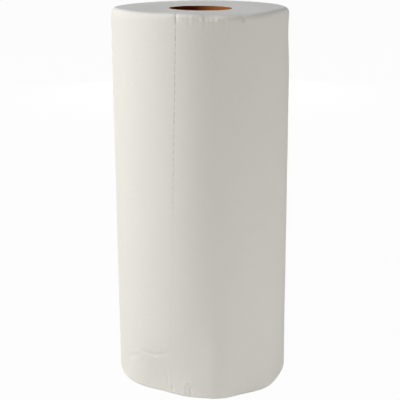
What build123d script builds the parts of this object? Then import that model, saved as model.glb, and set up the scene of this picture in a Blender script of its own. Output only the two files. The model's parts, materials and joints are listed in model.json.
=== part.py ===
from build123d import *
import os
from math import cos, exp, pi, radians, sin, sqrt

# A roll of paper towels standing on its end: one long embossed web, wound on a card tube.
# Millimetres and degrees, +Z up, front towards -Y. The origin is the middle of the tube's
# bore, in the face that the roll stands on. Plan angles turn from +X towards +Y.

# Roll
roll_height = 279.4  # width of the web
roll_diameter = 130.0  # over the outermost turn
sheet_thickness = 0.4  # one embossed sheet as it lies in the roll
top_round = 4.0  # how far the turns roll over at the upper rim
foot_round = 1.5  # and at the foot

# Card tube
core_bore = 44.5
core_wall = 0.7

# Perforations between one sheet and the next
sheet_length = 228.6
slit_pitch = 5.2
slit_length = 3.4
slit_width = 0.3
perforation_angle = -108.3  # plan angle of the outermost perforation at half height
winding_lean = 7.1  # turn of that line from the foot to the top, as the web is wound askew

# The foot has been pressed out of round: one flat and two pushed-out corners, each given by
# its plan angle, its radial move at the foot, the angle over which the move dies away and
# the height at which it has faded out.
flat_beside_front = (-120.0, -4.0, 16.5, 45.0)
corner_at_front = (-78.0, 3.3, 12.0, 90.0)
corner_beside_front = (-46.5, 3.8, 15.0, 70.0)
foot_dents = (flat_beside_front, corner_at_front, corner_beside_front)

# How finely the outer surface is drawn
outline_spans = 36
rounding_levels = 4
foot_levels = 6

outer_radius = roll_diameter / 2
winding_radius = core_bore / 2 + core_wall
sheet_share = sheet_length / (pi * roll_diameter)  # share of a turn that one sheet covers
quarter_turn = pi / 2
foot_height = max(dent[3] for dent in foot_dents)  # where the last of them has faded out
past_ends = 1.0  # how far a cutting tool passes each end face


def plan_angle(turned, height):
    """Plan angle of a place on the outermost turn, counted in turns from the web's free end."""
    lean = winding_lean * (height / roll_height - 0.5)
    return perforation_angle + lean + 360 * (sheet_share - turned)


def pressed_out(angle, height):
    """Radial move of the outer turns where the foot is out of round."""
    move = 0
    for centre, foot_move, spread, fade_height in foot_dents:
        away = (angle - centre + 180) % 360 - 180
        fade = cos(quarter_turn * min(height / fade_height, 1)) ** 2
        move += fade * foot_move * exp(-((away / spread) ** 2))
    return move


def rolled_over(height):
    """Inward move of the outer turns where they round into an end face."""
    for edge_round, from_end in ((foot_round, height), (top_round, roll_height - height)):
        if from_end < edge_round:
            return edge_round - sqrt(edge_round**2 - (edge_round - from_end) ** 2)
    return 0


def surface_radius(turned, height):
    """Radius of the outer surface, which loses one sheet's thickness over the outermost turn."""
    spiral = outer_radius - sheet_thickness * turned
    return spiral + pressed_out(plan_angle(turned, height), height) - rolled_over(height)


def outline(height):
    """The outermost turn in plan, from the web's free end round to the step under it."""
    shares = [span / outline_spans for span in range(outline_spans + 1)]
    points = []
    for turned in shares:
        angle = radians(plan_angle(turned, height))
        radius = surface_radius(turned, height)
        points.append(Vector(radius * cos(angle), radius * sin(angle), height))
    # Even parameters let each outline match the one above it.
    spiral = Edge.make_spline(points, parameters=shares)
    free_end = Edge.make_line(points[-1], points[0])
    return make_face([spiral, free_end])


def outline_heights():
    """Heights of the outlines: close together over the roundings, evenly spaced up the foot."""
    heights = []
    for level in range(rounding_levels + 1):
        share = 1 - cos(quarter_turn * level / rounding_levels)
        heights.append(foot_round * share)
        heights.append(roll_height - top_round * share)
    for level in range(1, foot_levels + 1):
        heights.append(foot_round + (foot_height - foot_round) * level / foot_levels)
    heights.append((foot_height + roll_height) / 2)
    return sorted(heights)


def perforation():
    """Slits through the outermost sheet, one above the other along the leaning line."""
    count = int((roll_height - slit_length) / slit_pitch)
    slits = []
    for number in range(count):
        height = roll_height / 2 + (number - (count - 1) / 2) * slit_pitch
        slit = Pos(surface_radius(sheet_share, height), 0, height)
        slit *= Box(2 * sheet_thickness, slit_width, slit_length)
        slits.append(Rot(0, 0, plan_angle(sheet_share, height)) * slit)
    return slits


def towel_roll():
    """All turns of the web as one solid, with the hole that the tube fills."""
    turns = loft([outline(height) for height in outline_heights()], ruled=True)
    hole = Cylinder(winding_radius, roll_height + 2 * past_ends)
    return turns - Pos(0, 0, roll_height / 2) * hole - perforation()


def core_tube():
    """The card tube, as long as the web is wide."""
    bore = Cylinder(core_bore / 2, roll_height + 2 * past_ends)
    return Pos(0, 0, roll_height / 2) * (Cylinder(winding_radius, roll_height) - bore)


os.makedirs("parts", exist_ok=True)
export_step(towel_roll(), "parts/towel_roll.step")
export_step(core_tube(), "parts/core_tube.step")
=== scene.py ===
import json
from math import atan2, ceil, cos, degrees, exp, hypot, pi, radians, sin, sqrt

import bmesh
import bpy
from mathutils import Matrix, Vector, noise


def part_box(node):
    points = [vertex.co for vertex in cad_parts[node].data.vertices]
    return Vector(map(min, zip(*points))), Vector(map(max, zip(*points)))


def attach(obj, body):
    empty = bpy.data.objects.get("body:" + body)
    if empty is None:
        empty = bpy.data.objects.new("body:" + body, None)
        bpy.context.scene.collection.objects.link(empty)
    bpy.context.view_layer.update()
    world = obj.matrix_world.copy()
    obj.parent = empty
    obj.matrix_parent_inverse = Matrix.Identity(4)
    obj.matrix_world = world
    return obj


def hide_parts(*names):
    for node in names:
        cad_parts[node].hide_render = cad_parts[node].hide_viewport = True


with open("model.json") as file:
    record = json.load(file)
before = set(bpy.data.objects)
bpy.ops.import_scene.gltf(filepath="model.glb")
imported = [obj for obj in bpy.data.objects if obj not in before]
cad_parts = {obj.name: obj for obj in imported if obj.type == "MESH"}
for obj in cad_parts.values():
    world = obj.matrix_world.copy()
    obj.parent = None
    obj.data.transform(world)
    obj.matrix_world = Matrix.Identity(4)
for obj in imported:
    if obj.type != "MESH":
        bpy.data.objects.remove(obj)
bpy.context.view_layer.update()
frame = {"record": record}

# A roll of paper towels standing on its end. Metres and degrees; the front is towards -Y, and
# a bearing is counted from the front, positive towards +X.

MM = 0.001

# ---------------------------------------------------------------- sizes from the frame

roll_low, roll_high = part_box("towel_roll")
core_low, core_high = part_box("core_tube")
roll_height = roll_high[2]
outer_radius = roll_high[1]
core_radius = core_high[0]
core_bore = next(m for m in frame["record"]["mounts"] if m["name"] == "core_bore")
bore_radius = core_bore["dims"]["r_mm"] * MM

# ---------------------------------------------------------------- the web's own sizes

sheet_thickness = 0.4 * MM
sheet_length = 228.6 * MM
top_round = 4.0 * MM
foot_round = 1.5 * MM
card_gap = 0.05 * MM  # between the winding and the card tube

slit_pitch = 5.2 * MM
slit_length = 3.4 * MM
slit_width = 0.35 * MM
slit_depth = 0.25 * MM
slit_end = 0.1 * MM  # over which a slit closes at its ends
slit_floor = 0.3  # half width of a slit's floor, as a share of its width
slit_fade = (0.25, 110.0 * MM, 180.0 * MM)  # share open low down, heights between which it grows to 1
slit_scatter = 0.35  # how unevenly they open
scatter_step = 0.73  # distance in the noise between one slit and the next
scatter_row = 4.0
perforation_bearing = -18.3  # at half height
winding_lean = 7.1  # turn of the perforation from the foot to the top

# The foot is pressed out of round: bearing, radial move, spread and height of each flat or
# corner.
foot_dents = (
    (-30.0, -4.0 * MM, 16.5, 45.0 * MM),
    (12.0, 3.3 * MM, 12.0, 90.0 * MM),
    (43.5, 3.8 * MM, 15.0, 70.0 * MM),
)

# Creases in the outer turns: bearing and height of both ends, half width and depth. A
# negative depth is a valley. Creases further off than the reach, across and up, are left out.
crease_reach = (20.0 * MM, 40.0 * MM)
degree_across = 1.0 * MM  # reach added for each degree that a crease spans
creases = (
    ((-59.0, 20.0 * MM), (-49.0, 25.0 * MM), 2.0 * MM, -0.25 * MM),
    ((-44.0, 30.0 * MM), (-33.0, 29.8 * MM), 1.3 * MM, -0.27 * MM),
    ((-33.0, 29.8 * MM), (-27.0, 31.8 * MM), 1.3 * MM, -0.27 * MM),
    ((-27.0, 31.6 * MM), (-22.0, 34.5 * MM), 1.6 * MM, -0.20 * MM),
    ((-27.5, 20.0 * MM), (-26.0, 6.0 * MM), 1.2 * MM, 0.16 * MM),
    ((-23.0, 22.0 * MM), (-23.0, 9.0 * MM), 1.2 * MM, 0.18 * MM),
    ((-24.8, 19.0 * MM), (-24.5, 7.0 * MM), 1.0 * MM, -0.14 * MM),
    ((-21.2, 6.0 * MM), (-21.0, 3.6 * MM), 0.9 * MM, -0.55 * MM),
    ((-19.3, 9.0 * MM), (-19.3, 3.0 * MM), 0.9 * MM, 0.20 * MM),
    ((-12.7, 8.0 * MM), (-12.7, 2.0 * MM), 1.3 * MM, 0.26 * MM),
    ((-12.7, 8.5 * MM), (-10.7, 12.0 * MM), 1.2 * MM, 0.20 * MM),
    ((-10.7, 12.0 * MM), (-4.8, 12.4 * MM), 1.2 * MM, 0.22 * MM),
    ((-4.8, 12.4 * MM), (-2.2, 10.0 * MM), 1.2 * MM, 0.16 * MM),
    ((-8.1, 6.3 * MM), (-7.7, 2.5 * MM), 0.9 * MM, -0.75 * MM),
    ((2.5, 2.5 * MM), (5.0, 8.0 * MM), 1.3 * MM, -0.18 * MM),
    ((-14.8, 279.4 * MM), (-14.9, 276.6 * MM), 0.8 * MM, -0.80 * MM),
    ((-15.0, 106.0 * MM), (-1.0, 100.5 * MM), 2.5 * MM, -0.12 * MM),
    ((-1.0, 100.5 * MM), (11.5, 96.0 * MM), 2.5 * MM, -0.12 * MM),
    ((8.5, 267.0 * MM), (17.5, 260.0 * MM), 2.4 * MM, -0.15 * MM),
    ((17.5, 260.0 * MM), (27.5, 246.0 * MM), 2.4 * MM, -0.15 * MM),
    ((26.0, 279.4 * MM), (26.5, 276.0 * MM), 1.3 * MM, -1.10 * MM),
)

# The upper end face isn't flat: bearing, spread and rise of the places where the turns stand
# higher towards the rim, and the lean of the hole's edge.
rim_rises = (
    (-60.0, 40.0, 1.7 * MM),
    (-10.0, 20.0, 1.3 * MM),
    (60.0, 20.0, 1.2 * MM),
)
hole_lean = (150.0, 0.9 * MM, 22.0 * MM)  # bearing of its lowest place, drop there, reach outwards

# The upper rim droops a little at the front and carries fine wrinkles there.
rim_droop = (5.0, 6.0, 2.0 * MM, 3.5 * MM)  # bearing, spread, drop, reach inwards
rim_wrinkles = (4.0, 20.0, 0.11 * MM, 3.1, 6.0 * MM)  # bearing, spread, depth, period, reach down
side_hollow = (80.0, 26.0, 262.0 * MM, 17.0 * MM, -1.0 * MM)  # bearing, spread, height, reach, move
second_wave = (0.6, 1.7, 1.0)  # share, period and phase of a slower wave in those wrinkles
softness = 0.18 * MM  # slow unevenness of the wall
softness_size = 38.0 * MM
end_unevenness = 0.22 * MM  # how far turns stand proud of or behind their neighbours
turn_size = 1.6 * MM  # thickness of a band of turns that lies level
relief_steps = (0.9, 1.3)  # distance in the noise from band to band, and its radius round the roll
foot_relief_fade = (4, 9)  # how steeply the foot's relief dies out at the wall and at the hole
end_lift = 0.35 * MM  # how far the free end stands off the roll
end_lift_reach = 5.0 * MM

# Mesh columns from one bearing to the next, counted at half height, and the degrees between them.
column_zones = (
    (-180.0, -72.0, 1.7),
    (-72.0, -30.0, 1.1),
    (-30.0, 14.0, 0.62),
    (14.0, 48.0, 1.1),
    (48.0, 180.0, 1.7),
)
fine_rows = 1.0 * MM  # greatest distance of rows near both ends
fine_foot = 37.0 * MM
fine_top = 268.0 * MM
end_rings = 14
rounding_rows = 6
slit_columns = (-1.6, -0.75, -0.25, 0.25, 0.75, 1.6)  # columns beside the slits, in slit widths
columns_after_end = (1.0 * MM, 3.0 * MM)  # distances of columns from the free end, one way round
columns_before_end = (1.0 * MM, 0.03 * MM)  # and the other way
clear_of_special = 0.3 * MM  # other columns stand at least this far from all of these
at_end_face = 0.01 * MM  # how near a vertex is to an end plane when it belongs to it
wall_share = 0.9  # share of the way from hole to wall beyond which the slits' painted shade can reach
end_slope = 0.8  # least upright part of the normal of an end face
web_sharp_angle = 50.0
merge_distance = 0.001 * MM

card_columns = 96
card_row = 4.0 * MM
card_lead = 96.0 * MM  # height over which the card strips wind once round
seam_depth = 0.22 * MM
seam_half_width = 0.5 * MM
card_lip = 0.12 * MM
card_sharp_angle = 40.0

# ---------------------------------------------------------------- materials

paper_colour = (0.856, 0.838, 0.772, 1.0)
# Darker paper tone: the paper's own cloudy tone and fibres, and painted shade in the hollows between the
# embossed pebbles.
paper_tone_and_hollow_shade = (0.812, 0.794, 0.726, 1.0)
# Painted shade in the slits of the perforation.
slit_painted_shade = (0.640, 0.628, 0.570, 1.0)
cut_paper_colour = (0.850, 0.848, 0.835, 1.0)
cut_paper_shade = (0.750, 0.748, 0.735, 1.0)
card_colour = (0.560, 0.220, 0.070, 1.0)
card_shade = (0.440, 0.160, 0.045, 1.0)
stage_colour = (0.500, 0.500, 0.500, 1.0)

# Scale of the cloudy formation and of the fibres
paper_fibres = (45.0, 1400.0)
cut_fibres = (60.0, 900.0)
card_fibres = (120.0, 1100.0)
pebble_scale = 290.0
streak_scale = (700.0, 45.0, 1.0)
stripe_scale = (420.0, 12.0, 1.0)
turn_spacing = 1.2 * MM  # between the turns seen on the end faces
turn_wander = 2.2  # how far those turns stray, in turns


def add_node(tree, kind, settings=None, values=None):
    """A new node with its properties and unlinked inputs set."""
    made = tree.nodes.new(kind)
    for name, value in (settings or {}).items():
        setattr(made, name, value)
    for name, value in (values or {}).items():
        made.inputs[name].default_value = value
    return made


def calculate(tree, operation, first, second=None):
    """A Math node; each side is a socket or a number."""
    made = add_node(tree, "ShaderNodeMath", {"operation": operation})
    for place, side in enumerate((first, second)):
        if isinstance(side, (int, float)):
            made.inputs[place].default_value = side
        elif side is not None:
            tree.links.new(side, made.inputs[place])
    return made.outputs[0]


def blend_colours(tree, factor, first, second):
    """A colour between two given ones."""
    made = add_node(tree, "ShaderNodeMix", {"data_type": "RGBA"})
    made.inputs["A"].default_value = first
    made.inputs["B"].default_value = second
    tree.links.new(factor, made.inputs["Factor"])
    return made.outputs["Result"]


def fibre_group():
    """Shared effect: cloudy formation and fine fibres of paper and card, from 0 to 1."""
    group = bpy.data.node_groups.new("fibre_formation", "ShaderNodeTree")
    face = group.interface
    face.new_socket("Vector", in_out="INPUT", socket_type="NodeSocketVector")
    face.new_socket("Cloud Scale", in_out="INPUT", socket_type="NodeSocketFloat")
    face.new_socket("Fibre Scale", in_out="INPUT", socket_type="NodeSocketFloat")
    face.new_socket("Cloud", in_out="OUTPUT", socket_type="NodeSocketFloat")
    face.new_socket("Fibre", in_out="OUTPUT", socket_type="NodeSocketFloat")
    entry = add_node(group, "NodeGroupInput")
    leave = add_node(group, "NodeGroupOutput")
    cloud = add_node(group, "ShaderNodeTexNoise", values={"Detail": 3.0, "Roughness": 0.55})
    fibre = add_node(group, "ShaderNodeTexNoise",
                     values={"Detail": 4.0, "Roughness": 0.65, "Distortion": 0.6})
    group.links.new(entry.outputs["Vector"], cloud.inputs["Vector"])
    group.links.new(entry.outputs["Vector"], fibre.inputs["Vector"])
    group.links.new(entry.outputs["Cloud Scale"], cloud.inputs["Scale"])
    group.links.new(entry.outputs["Fibre Scale"], fibre.inputs["Scale"])
    group.links.new(cloud.outputs["Fac"], leave.inputs["Cloud"])
    group.links.new(fibre.outputs["Fac"], leave.inputs["Fibre"])
    return group


def new_material(name, roughness, specular):
    """A material with its Principled shader."""
    material = bpy.data.materials.new(name)
    material.use_nodes = True
    shader = material.node_tree.nodes["Principled BSDF"]
    shader.inputs["Roughness"].default_value = roughness
    shader.inputs["Specular IOR Level"].default_value = specular
    return material, material.node_tree, shader


def place_fibres(tree, formation, coordinates, scales):
    """The shared fibre effect, placed in one material."""
    cloud_scale, fibre_scale = scales
    placed = add_node(tree, "ShaderNodeGroup", {"node_tree": formation})
    placed.inputs["Cloud Scale"].default_value = cloud_scale
    placed.inputs["Fibre Scale"].default_value = fibre_scale
    tree.links.new(coordinates, placed.inputs["Vector"])
    return placed.outputs["Cloud"], placed.outputs["Fibre"]


def add_bump(tree, shader, height, strength, distance):
    """Relief from a height in metres."""
    bump = add_node(tree, "ShaderNodeBump", values={"Strength": strength, "Distance": distance})
    tree.links.new(height, bump.inputs["Height"])
    tree.links.new(bump.outputs["Normal"], shader.inputs["Normal"])


def embossed_paper(formation):
    """The web's outer face: soft pebble embossing and upright crepe streaks on warm white, with painted
    shade in the pebbles' hollows and in the slits.
    """
    material, tree, shader = new_material("embossed_paper", 0.92, 0.18)
    shader.inputs["Sheen Weight"].default_value = 0.08
    shader.inputs["Sheen Roughness"].default_value = 0.6
    web = add_node(tree, "ShaderNodeUVMap", {"uv_map": "web"}).outputs["UV"]
    cloud, fibre = place_fibres(tree, formation, web, paper_fibres)
    pebbles = add_node(tree, "ShaderNodeTexVoronoi", {"feature": "SMOOTH_F1"},
                       {"Scale": pebble_scale, "Smoothness": 0.7, "Randomness": 0.75})
    tree.links.new(web, pebbles.inputs["Vector"])
    stretch = add_node(tree, "ShaderNodeMapping", values={"Scale": streak_scale})
    tree.links.new(web, stretch.inputs["Vector"])
    streaks = add_node(tree, "ShaderNodeTexNoise", values={"Scale": 1.0, "Detail": 2.0})
    tree.links.new(stretch.outputs["Vector"], streaks.inputs["Vector"])
    darkening = calculate(tree, "MULTIPLY", cloud, 0.5)
    darkening = calculate(tree, "ADD", darkening, calculate(tree, "MULTIPLY", fibre, 0.2))
    # Darker where the pebble distance is greatest, in the hollows between the pebbles: painted shade, added
    # to the paper's own cloudy tone and fibres.
    darkening = calculate(tree, "ADD", darkening, calculate(tree, "MULTIPLY", pebbles.outputs["Distance"], 0.3))
    colour = blend_colours(tree, darkening, paper_colour, paper_tone_and_hollow_shade)
    # The slit attribute is the mask of the painted shade in the slits.
    slit = add_node(tree, "ShaderNodeAttribute", {"attribute_name": "slit"}).outputs["Fac"]
    darker = add_node(tree, "ShaderNodeMix", {"data_type": "RGBA"})
    darker.inputs["B"].default_value = slit_painted_shade
    tree.links.new(slit, darker.inputs["Factor"])
    tree.links.new(colour, darker.inputs["A"])
    tree.links.new(darker.outputs["Result"], shader.inputs["Base Color"])
    height = calculate(tree, "MULTIPLY", pebbles.outputs["Distance"], -1.0)
    height = calculate(tree, "ADD", height, calculate(tree, "MULTIPLY", streaks.outputs["Fac"], 0.35))
    height = calculate(tree, "ADD", height, calculate(tree, "MULTIPLY", fibre, 0.15))
    add_bump(tree, shader, height, 0.55, 0.25 * MM)
    return material


def cut_edges(formation):
    """The end faces: the web's cut edge, seen as fine spiral turns."""
    material, tree, shader = new_material("cut_edges", 0.95, 0.1)
    here = add_node(tree, "ShaderNodeTexCoord").outputs["Object"]
    parts = add_node(tree, "ShaderNodeSeparateXYZ")
    tree.links.new(here, parts.inputs["Vector"])
    across, along = parts.outputs["X"], parts.outputs["Y"]
    from_axis = calculate(tree, "SQRT", calculate(
        tree, "ADD", calculate(tree, "MULTIPLY", across, across), calculate(tree, "MULTIPLY", along, along)))
    turn = calculate(tree, "DIVIDE", calculate(tree, "ARCTAN2", along, across), 2 * pi)
    cloud, fibre = place_fibres(tree, formation, here, cut_fibres)
    wander = calculate(tree, "MULTIPLY", cloud, turn_wander)
    turns = calculate(tree, "DIVIDE", from_axis, turn_spacing)
    phase = calculate(tree, "ADD", calculate(tree, "ADD", turns, turn), wander)
    ridge = calculate(tree, "SINE", calculate(tree, "MULTIPLY", phase, 2 * pi))
    ridge = calculate(tree, "ADD", calculate(tree, "MULTIPLY", ridge, 0.5), 0.5)
    darkening = calculate(tree, "MULTIPLY", ridge, 0.25)
    darkening = calculate(tree, "ADD", darkening, calculate(tree, "MULTIPLY", fibre, 0.45))
    colour = blend_colours(tree, darkening, cut_paper_colour, cut_paper_shade)
    tree.links.new(colour, shader.inputs["Base Color"])
    height = calculate(tree, "ADD", ridge, calculate(tree, "MULTIPLY", fibre, 0.8))
    add_bump(tree, shader, height, 0.3, 0.15 * MM)
    return material


def kraft_card(formation):
    """Brown card of the tube, with faint stripes along its winding."""
    material, tree, shader = new_material("kraft_card", 0.95, 0.0)
    here = add_node(tree, "ShaderNodeTexCoord").outputs["Object"]
    cloud, fibre = place_fibres(tree, formation, here, card_fibres)
    wound = add_node(tree, "ShaderNodeUVMap", {"uv_map": "strip"}).outputs["UV"]
    stretch = add_node(tree, "ShaderNodeMapping", values={"Scale": stripe_scale})
    tree.links.new(wound, stretch.inputs["Vector"])
    stripes = add_node(tree, "ShaderNodeTexNoise", values={"Scale": 1.0, "Detail": 2.0})
    tree.links.new(stretch.outputs["Vector"], stripes.inputs["Vector"])
    darkening = calculate(tree, "MULTIPLY", cloud, 0.4)
    darkening = calculate(tree, "ADD", darkening, calculate(tree, "MULTIPLY", fibre, 0.3))
    darkening = calculate(tree, "ADD", darkening, calculate(tree, "MULTIPLY", stripes.outputs["Fac"], 0.3))
    tree.links.new(blend_colours(tree, darkening, card_colour, card_shade), shader.inputs["Base Color"])
    add_bump(tree, shader, darkening, 0.3, 0.2 * MM)
    return material


# ---------------------------------------------------------------- shape of the web

sheet_share = sheet_length / (2 * pi * outer_radius)


def bearing_of(turned, height):
    """Bearing of a place on the outermost turn, counted in turns from the free end."""
    lean = winding_lean * (height / roll_height - 0.5)
    return perforation_bearing + lean + 360 * (sheet_share - turned)


def away_from(bearing, centre):
    """Signed difference of two bearings."""
    return (bearing - centre + 180) % 360 - 180


def hump(distance, spread):
    """A smooth bell, 1 at its middle."""
    return exp(-((distance / spread) ** 2))


def rolled_over(height):
    """Inward move of the outer turns where they round into an end face."""
    for edge_round, from_end in ((foot_round, height), (top_round, roll_height - height)):
        if from_end < edge_round:
            return edge_round - sqrt(edge_round**2 - (edge_round - from_end) ** 2)
    return 0.0


def pressed_foot(bearing, height):
    """Radial move where the foot is out of round."""
    total = 0.0
    for centre, move, spread, reach in foot_dents:
        fade = cos(pi / 2 * min(height / reach, 1.0)) ** 2
        total += fade * move * hump(away_from(bearing, centre), spread)
    return total


def crease_depth(bearing, height):
    """Relief of all creases at one place of the wall."""
    total = 0.0
    reach_across, reach_up = crease_reach
    for (start_bearing, start_height), (end_bearing, end_height), half_width, depth in creases:
        across = radians(away_from(bearing, start_bearing)) * outer_radius
        up = height - start_height
        span = abs(end_bearing - start_bearing) * degree_across
        if abs(across) > reach_across + span or abs(up) > reach_up:
            continue
        run_across = radians(end_bearing - start_bearing) * outer_radius
        run_up = end_height - start_height
        share = (across * run_across + up * run_up) / (run_across**2 + run_up**2)
        share = min(max(share, 0.0), 1.0)
        distance = hypot(across - share * run_across, up - share * run_up)
        total += depth * hump(distance, half_width)
    return total


def rim_relief(bearing, height):
    """Fine wrinkles just below the upper rim."""
    centre, spread, depth, period, reach = rim_wrinkles
    below = (roll_height - height) / reach
    second, slower, phase = second_wave
    wave = sin(2 * pi * bearing / period) + second * sin(2 * pi * bearing / (period * slower) + phase)
    return depth * wave * hump(away_from(bearing, centre), spread) * hump(below, 1.0)


def hollow_side(bearing, height):
    """A slight hollow below the upper rim."""
    centre, spread, middle, reach, move = side_hollow
    return move * hump(away_from(bearing, centre), spread) * hump(height - middle, reach)


def slow_unevenness(bearing, height):
    """Softness of the wound wall, the same all the way round."""
    angle = radians(bearing)
    place = Vector((outer_radius * cos(angle), outer_radius * sin(angle), height)) / softness_size
    return softness * noise.noise(place)


def smooth_step(value):
    """0 to 1 with soft ends."""
    share = min(max(value, 0.0), 1.0)
    return share * share * (3 - 2 * share)


def slit_opening(height):
    """How far the slit at this height has opened: wider and more even towards the top."""
    least, low, high = slit_fade
    number = round((height - roll_height / 2) / slit_pitch)
    opened = least + (1 - least) * smooth_step((height - low) / (high - low))
    return opened * (1 - slit_scatter * (0.5 + noise.noise((number * scatter_step, scatter_row, 0.0))))


def slit_share(turned, height):
    """How far a place is inside a slit of the perforation, from 0 to 1."""
    across = abs(turned - sheet_share) * 2 * pi * outer_radius
    if across > slit_floor * slit_width:
        return 0.0
    middle = roll_height / 2
    from_slit = abs((height - middle + slit_pitch / 2) % slit_pitch - slit_pitch / 2)
    inside = (slit_length / 2 + slit_end - from_slit) / (2 * slit_end)
    return min(max(inside, 0.0), 1.0) * slit_opening(height)


def wall_move(turned, height):
    """Radial move of the wall away from the plain cylinder."""
    bearing = bearing_of(turned, height)
    from_free_end = turned * 2 * pi * outer_radius
    lift = end_lift * hump(from_free_end, end_lift_reach)
    return (
        pressed_foot(bearing, height)
        + crease_depth(bearing, height)
        + rim_relief(bearing, height)
        + hollow_side(bearing, height)
        + slow_unevenness(bearing, height)
        + lift
        - sheet_thickness * turned
        - slit_depth * slit_share(turned, height)
    )


def column_places():
    """Places of the mesh columns, in turns from the free end: closer at the front and the slits."""
    round_trip = 2 * pi * outer_radius
    places = []
    for start, end, step in column_zones:
        count = round((end - start) / step)
        for column in range(count):
            bearing = start + (end - start) * column / count
            places.append((sheet_share + (perforation_bearing - bearing) / 360) % 1)
    near_slit = [sheet_share + offset * slit_width / round_trip for offset in slit_columns]
    near_end = [distance / round_trip for distance in columns_after_end]
    near_end += [1 - distance / round_trip for distance in columns_before_end]
    special = near_slit + [sheet_share, 0.0] + near_end
    clear = clear_of_special / round_trip
    places = [place for place in places if min(abs(place - other) for other in special) > clear]
    return sorted(places + special)


def wall_rows():
    """Heights of the mesh rows up the wall: through the roundings and at each slit's ends."""
    rows = []
    for row in range(rounding_rows + 1):
        share = 1 - cos(pi / 2 * row / rounding_rows)
        rows += [foot_round * share, roll_height - top_round * share]
    slits = int(roll_height / slit_pitch)
    edge = slit_length / 2
    for number in range(-slits // 2, slits // 2 + 1):
        middle = roll_height / 2 + number * slit_pitch
        for offset in (-edge - slit_end, -edge + slit_end, edge - slit_end, edge + slit_end):
            height = middle + offset
            if foot_round + slit_end < height < roll_height - top_round - slit_end:
                rows.append(height)
    rows.sort()
    finer = []
    for low, high in zip(rows, rows[1:]):
        near_end = foot_round < low < fine_foot or fine_top < low < roll_height - top_round
        parts = ceil((high - low) / fine_rows) if near_end else 1
        finer += [low + (high - low) * part / parts for part in range(parts)]
    return finer + [rows[-1]]


def web_profile():
    """Half section of the winding as (radius, height), going round it."""
    inner = core_radius + card_gap
    foot_edge = outer_radius - foot_round
    top_edge = outer_radius - top_round
    profile = [(inner + (foot_edge - inner) * ring / end_rings, 0.0) for ring in range(end_rings)]
    profile += [(outer_radius - rolled_over(height), height) for height in wall_rows()]
    for ring in range(1, end_rings + 1):
        profile.append((top_edge + (inner - top_edge) * ring / end_rings, roll_height))
    return profile


def spun_shell(profile, steps):
    """A closed shell spun from a closed half section."""
    shell = bmesh.new()
    points = [shell.verts.new((radius, 0.0, height)) for radius, height in profile]
    edges = [shell.edges.new((points[k], points[(k + 1) % len(points)])) for k in range(len(points))]
    bmesh.ops.spin(
        shell, geom=points + edges, cent=(0, 0, 0), axis=(0, 0, 1), angle=2 * pi, steps=steps, use_merge=True
    )
    bmesh.ops.remove_doubles(shell, verts=shell.verts, dist=merge_distance)
    bmesh.ops.recalc_face_normals(shell, faces=shell.faces)
    return shell


def column_of(vert, steps):
    """Which column of a spun shell a vertex stands in."""
    return round(atan2(vert.co.y, vert.co.x) / (2 * pi) * steps) % steps


def finish_piece(shell, name, materials, smooth_angle):
    """The shell as an object with its materials and smooth shading."""
    mesh = bpy.data.meshes.new(name)
    shell.to_mesh(mesh)
    shell.free()
    for material in materials:
        mesh.materials.append(material)
    mesh.shade_smooth()
    mesh.set_sharp_from_angle(angle=radians(smooth_angle))
    piece = bpy.data.objects.new(name, mesh)
    bpy.context.scene.collection.objects.link(piece)
    return piece


def end_face_relief(turned, from_axis, bearing):
    """How far the turns lie back from the end plane, following the spiral."""
    turn = from_axis / turn_size - turned
    angle = radians(bearing)
    across_step, round_step = relief_steps
    # One turn's unevenness blends into the next one's, so no step crosses the face.
    relief = 0.0
    for whole, weight in ((0, 1 - turned), (1, turned)):
        place = Vector(((turn + whole) * across_step, round_step * cos(angle), round_step * sin(angle)))
        relief += weight * noise.noise(place)
    return end_unevenness * (0.5 + 0.5 * relief)


def rim_drop(from_axis, bearing):
    """Droop of the outermost turns at the front of the upper rim."""
    centre, spread, drop, reach = rim_droop
    from_rim = max(outer_radius - from_axis, 0.0)
    return drop * hump(away_from(bearing, centre), spread) * hump(from_rim, reach)


def hole_drop(from_axis, bearing):
    """How far the upper end lies low round its hole."""
    lowest, drop, reach = hole_lean
    fade = 1 - smooth_step((from_axis - core_radius) / reach)
    return drop * (0.5 + 0.5 * cos(radians(bearing - lowest))) * fade


def rim_rise(share, bearing):
    """How far the turns stand up towards the upper rim."""
    rise = sum(most * hump(away_from(bearing, centre), spread) for centre, spread, most in rim_rises)
    return rise * smooth_step(share)


def towel_web(materials):
    """The wound web: outer wall, both end faces and the wall of its hole."""
    places = column_places()
    shell = spun_shell(web_profile(), len(places))
    slit_shade_mask_layer = shell.verts.layers.float.new("slit")
    uv_layer = shell.loops.layers.uv.new("web")
    inner = core_radius + card_gap
    wall_fade, hole_fade = foot_relief_fade
    turned_of = {}
    for vert in shell.verts:
        turned = places[column_of(vert, len(places))]
        turned_of[vert] = turned
        from_axis, height = hypot(vert.co.x, vert.co.y), vert.co.z
        share = (from_axis - inner) / (outer_radius - inner)
        bearing = bearing_of(turned, height)
        # The slit attribute only marks where shade is painted into the slits.
        vert[slit_shade_mask_layer] = slit_share(turned, height) if share > wall_share else 0.0
        radius = from_axis + wall_move(turned, height) * share**3
        if height < at_end_face:
            fade = min(wall_fade * (1 - share), 1) * min(hole_fade * share, 1)
            height += end_face_relief(turned, from_axis, bearing) * fade
        elif height > roll_height - top_round:
            if height > roll_height - at_end_face:
                height -= end_face_relief(turned, from_axis, bearing)
            height += rim_rise(share, bearing) - rim_drop(from_axis, bearing)
            height -= hole_drop(from_axis, bearing)
        angle = radians(bearing - 90)
        vert.co = (radius * cos(angle), radius * sin(angle), height)
    for face in shell.faces:
        face.material_index = 0
        inside_rim = face.calc_center_median().xy.length < outer_radius - foot_round
        if abs(face.normal.z) > end_slope and inside_rim:
            face.material_index = 1
        for loop in face.loops:
            turned = turned_of[loop.vert]
            if turned == 0.0 and any(turned_of[v] > 0.5 for v in face.verts):
                turned = 1.0
            loop[uv_layer].uv = (-turned * 2 * pi * outer_radius, loop.vert.co.z)
    return finish_piece(shell, "towel_web", materials, web_sharp_angle)


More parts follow.
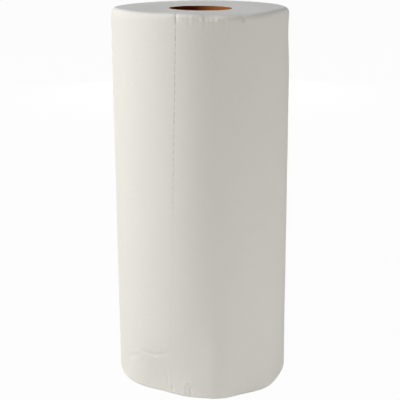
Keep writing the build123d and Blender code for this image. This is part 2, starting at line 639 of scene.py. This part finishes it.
def card_core(materials):
    """The card tube, with the helical seam between its wound strips."""
    rows = round(roll_height / card_row)
    inner = [(bore_radius, roll_height * row / rows) for row in range(rows, -1, -1)]
    outer = [(core_radius, roll_height * row / rows) for row in range(rows + 1)]
    inner[0] = (bore_radius, roll_height - card_lip)
    inner.insert(0, (bore_radius + card_lip, roll_height))
    inner[-1] = (bore_radius, card_lip)
    inner.append((bore_radius + card_lip, 0.0))
    shell = spun_shell(inner + outer, card_columns)
    uv_layer = shell.loops.layers.uv.new("strip")
    seam_reach = seam_half_width / bore_radius
    middle_of_card = (bore_radius + core_radius) / 2
    column_of_vert = {}
    for vert in shell.verts:
        column = column_of(vert, card_columns)
        column_of_vert[vert] = column
        from_axis, height = hypot(vert.co.x, vert.co.y), vert.co.z
        angle = 2 * pi * column / card_columns
        if column in (1, card_columns - 1):
            angle = seam_reach if column == 1 else 2 * pi - seam_reach
        if column == 0 and from_axis < middle_of_card:
            from_axis += seam_depth
        angle += 2 * pi * height / card_lead
        if height > roll_height - card_row:
            height -= hole_drop(from_axis, degrees(angle) + 90)
        vert.co = (from_axis * cos(angle), from_axis * sin(angle), height)
    for face in shell.faces:
        for loop in face.loops:
            column = column_of_vert[loop.vert]
            if column == 0 and any(column_of_vert[v] > card_columns / 2 for v in face.verts):
                column = card_columns
            loop[uv_layer].uv = (2 * pi * bore_radius * column / card_columns, loop.vert.co.z)
    return finish_piece(shell, "card_core", materials, card_sharp_angle)


formation = fibre_group()
web = towel_web([embossed_paper(formation), cut_edges(formation)])
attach(web, "root")
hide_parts("towel_roll")

core = card_core([kraft_card(formation)])
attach(core, "root")
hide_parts("core_tube")

# ---------------------------------------------------------------- stage, light and camera

scene = bpy.context.scene
stage_size = 8.0
backdrop_share = 0.97  # how much of the stage's look is plain white

camera_place = (0.0, -0.7526, 0.3470)
camera_tilt = 15.80
camera_turn = 0.084
camera_roll = -0.314
camera_lens = 92.05
sensor_width = 36.0
nearest_seen = 0.01

# name, bearing, elevation, distance, width, height, power, height aimed at, spread. The last one
# is for views from behind.
lamps = (
    ("key", -84.0, 34.0, 2.2, 0.5, 0.5, 32.2, 0.14, 180.0),
    ("left", -50.0, 0.0, 1.4, 0.8, 0.27, 5.2, 0.14, 180.0),
    ("fill", 35.0, 0.0, 1.4, 0.8, 0.27, 3.3, 0.14, 180.0),
    ("fill_right", 60.0, 0.0, 1.4, 0.8, 0.27, 3.5, 0.14, 180.0),
    ("right", 90.0, 0.0, 1.4, 0.8, 0.27, 2.2, 0.14, 180.0),
    ("low", 50.0, 9.7, 1.42, 0.8, 0.27, 0.13, -0.10, 36.0),
    ("top", 180.0, 82.0, 2.2, 0.9, 0.9, 9.7, 0.14, 180.0),
    ("back", 180.0, 0.0, 1.4, 0.4, 0.27, 7.0, 0.14, 180.0),
)


def white_ray_share(tree):
    """1 for rays that only look at the stage: camera, glossy and transmission rays."""
    rays = add_node(tree, "ShaderNodeLightPath")
    seen = calculate(tree, "MAXIMUM", rays.outputs["Is Camera Ray"], rays.outputs["Is Glossy Ray"])
    return calculate(tree, "MAXIMUM", seen, rays.outputs["Is Transmission Ray"])


def stage_material():
    """A floor that looks nearly white and keeps a trace of the roll's shadow."""
    material = bpy.data.materials.new("stage_floor")
    material.use_nodes = True
    tree = material.node_tree
    tree.nodes.clear()
    matte = add_node(tree, "ShaderNodeBsdfDiffuse", values={"Color": stage_colour})
    white = add_node(tree, "ShaderNodeEmission", values={"Strength": 1.0})
    mix = add_node(tree, "ShaderNodeMixShader")
    leave = add_node(tree, "ShaderNodeOutputMaterial")
    share = calculate(tree, "MULTIPLY", white_ray_share(tree), backdrop_share)
    tree.links.new(share, mix.inputs["Fac"])
    tree.links.new(matte.outputs["BSDF"], mix.inputs[1])
    tree.links.new(white.outputs["Emission"], mix.inputs[2])
    tree.links.new(mix.outputs["Shader"], leave.inputs["Surface"])
    return material


def add_floor():
    """The plain floor under the roll."""
    plane = bmesh.new()
    bmesh.ops.create_grid(plane, x_segments=1, y_segments=1, size=stage_size / 2)
    mesh = bpy.data.meshes.new("stage_floor")
    plane.to_mesh(mesh)
    plane.free()
    mesh.materials.append(stage_material())
    floor = bpy.data.objects.new("stage_floor", mesh)
    scene.collection.objects.link(floor)


def add_world():
    """White to look at, and no light of its own."""
    world = bpy.data.worlds.new("studio")
    world.use_nodes = True
    tree = world.node_tree
    tree.nodes.clear()
    unlit = add_node(tree, "ShaderNodeBackground", values={"Strength": 0.0})
    white = add_node(tree, "ShaderNodeBackground", values={"Strength": 1.0})
    for background in (unlit, white):
        background.inputs["Color"].default_value = (1.0, 1.0, 1.0, 1.0)
    mix = add_node(tree, "ShaderNodeMixShader")
    leave = add_node(tree, "ShaderNodeOutputWorld")
    tree.links.new(white_ray_share(tree), mix.inputs["Fac"])
    tree.links.new(unlit.outputs["Background"], mix.inputs[1])
    tree.links.new(white.outputs["Background"], mix.inputs[2])
    tree.links.new(mix.outputs["Shader"], leave.inputs["Surface"])
    scene.world = world


def add_lamp(name, bearing, elevation, distance, width, height, power, aimed_at, spread):
    """A soft box aimed at a height on the roll's axis."""
    lamp = bpy.data.lights.new(name, "AREA")
    lamp.shape = "RECTANGLE"
    lamp.size = width
    lamp.size_y = height
    lamp.energy = power
    lamp.spread = radians(spread)
    turn, rise = radians(bearing), radians(elevation)
    target = Vector((0.0, 0.0, aimed_at))
    towards = Vector((sin(turn) * cos(rise), -cos(turn) * cos(rise), sin(rise)))
    holder = bpy.data.objects.new(name, lamp)
    holder.location = target + distance * towards
    holder.rotation_euler = towards.to_track_quat("Z", "Y").to_euler()
    holder.visible_camera = False
    scene.collection.objects.link(holder)


def add_camera():
    """The camera, a little above the roll and looking down at it."""
    lens = bpy.data.cameras.new("camera")
    lens.sensor_width = sensor_width
    lens.lens = camera_lens
    lens.clip_start = nearest_seen
    camera = bpy.data.objects.new("camera", lens)
    turn = Matrix.Rotation(radians(camera_turn), 4, "Z")
    tilt = Matrix.Rotation(radians(90 - camera_tilt), 4, "X")
    roll = Matrix.Rotation(radians(camera_roll), 4, "Z")
    camera.matrix_world = Matrix.Translation(camera_place) @ turn @ tilt @ roll
    scene.collection.objects.link(camera)
    scene.camera = camera


add_floor()
add_world()
for lamp_values in lamps:
    add_lamp(*lamp_values)
add_camera()
scene.view_settings.view_transform = "Standard"

bpy.context.view_layer.update()
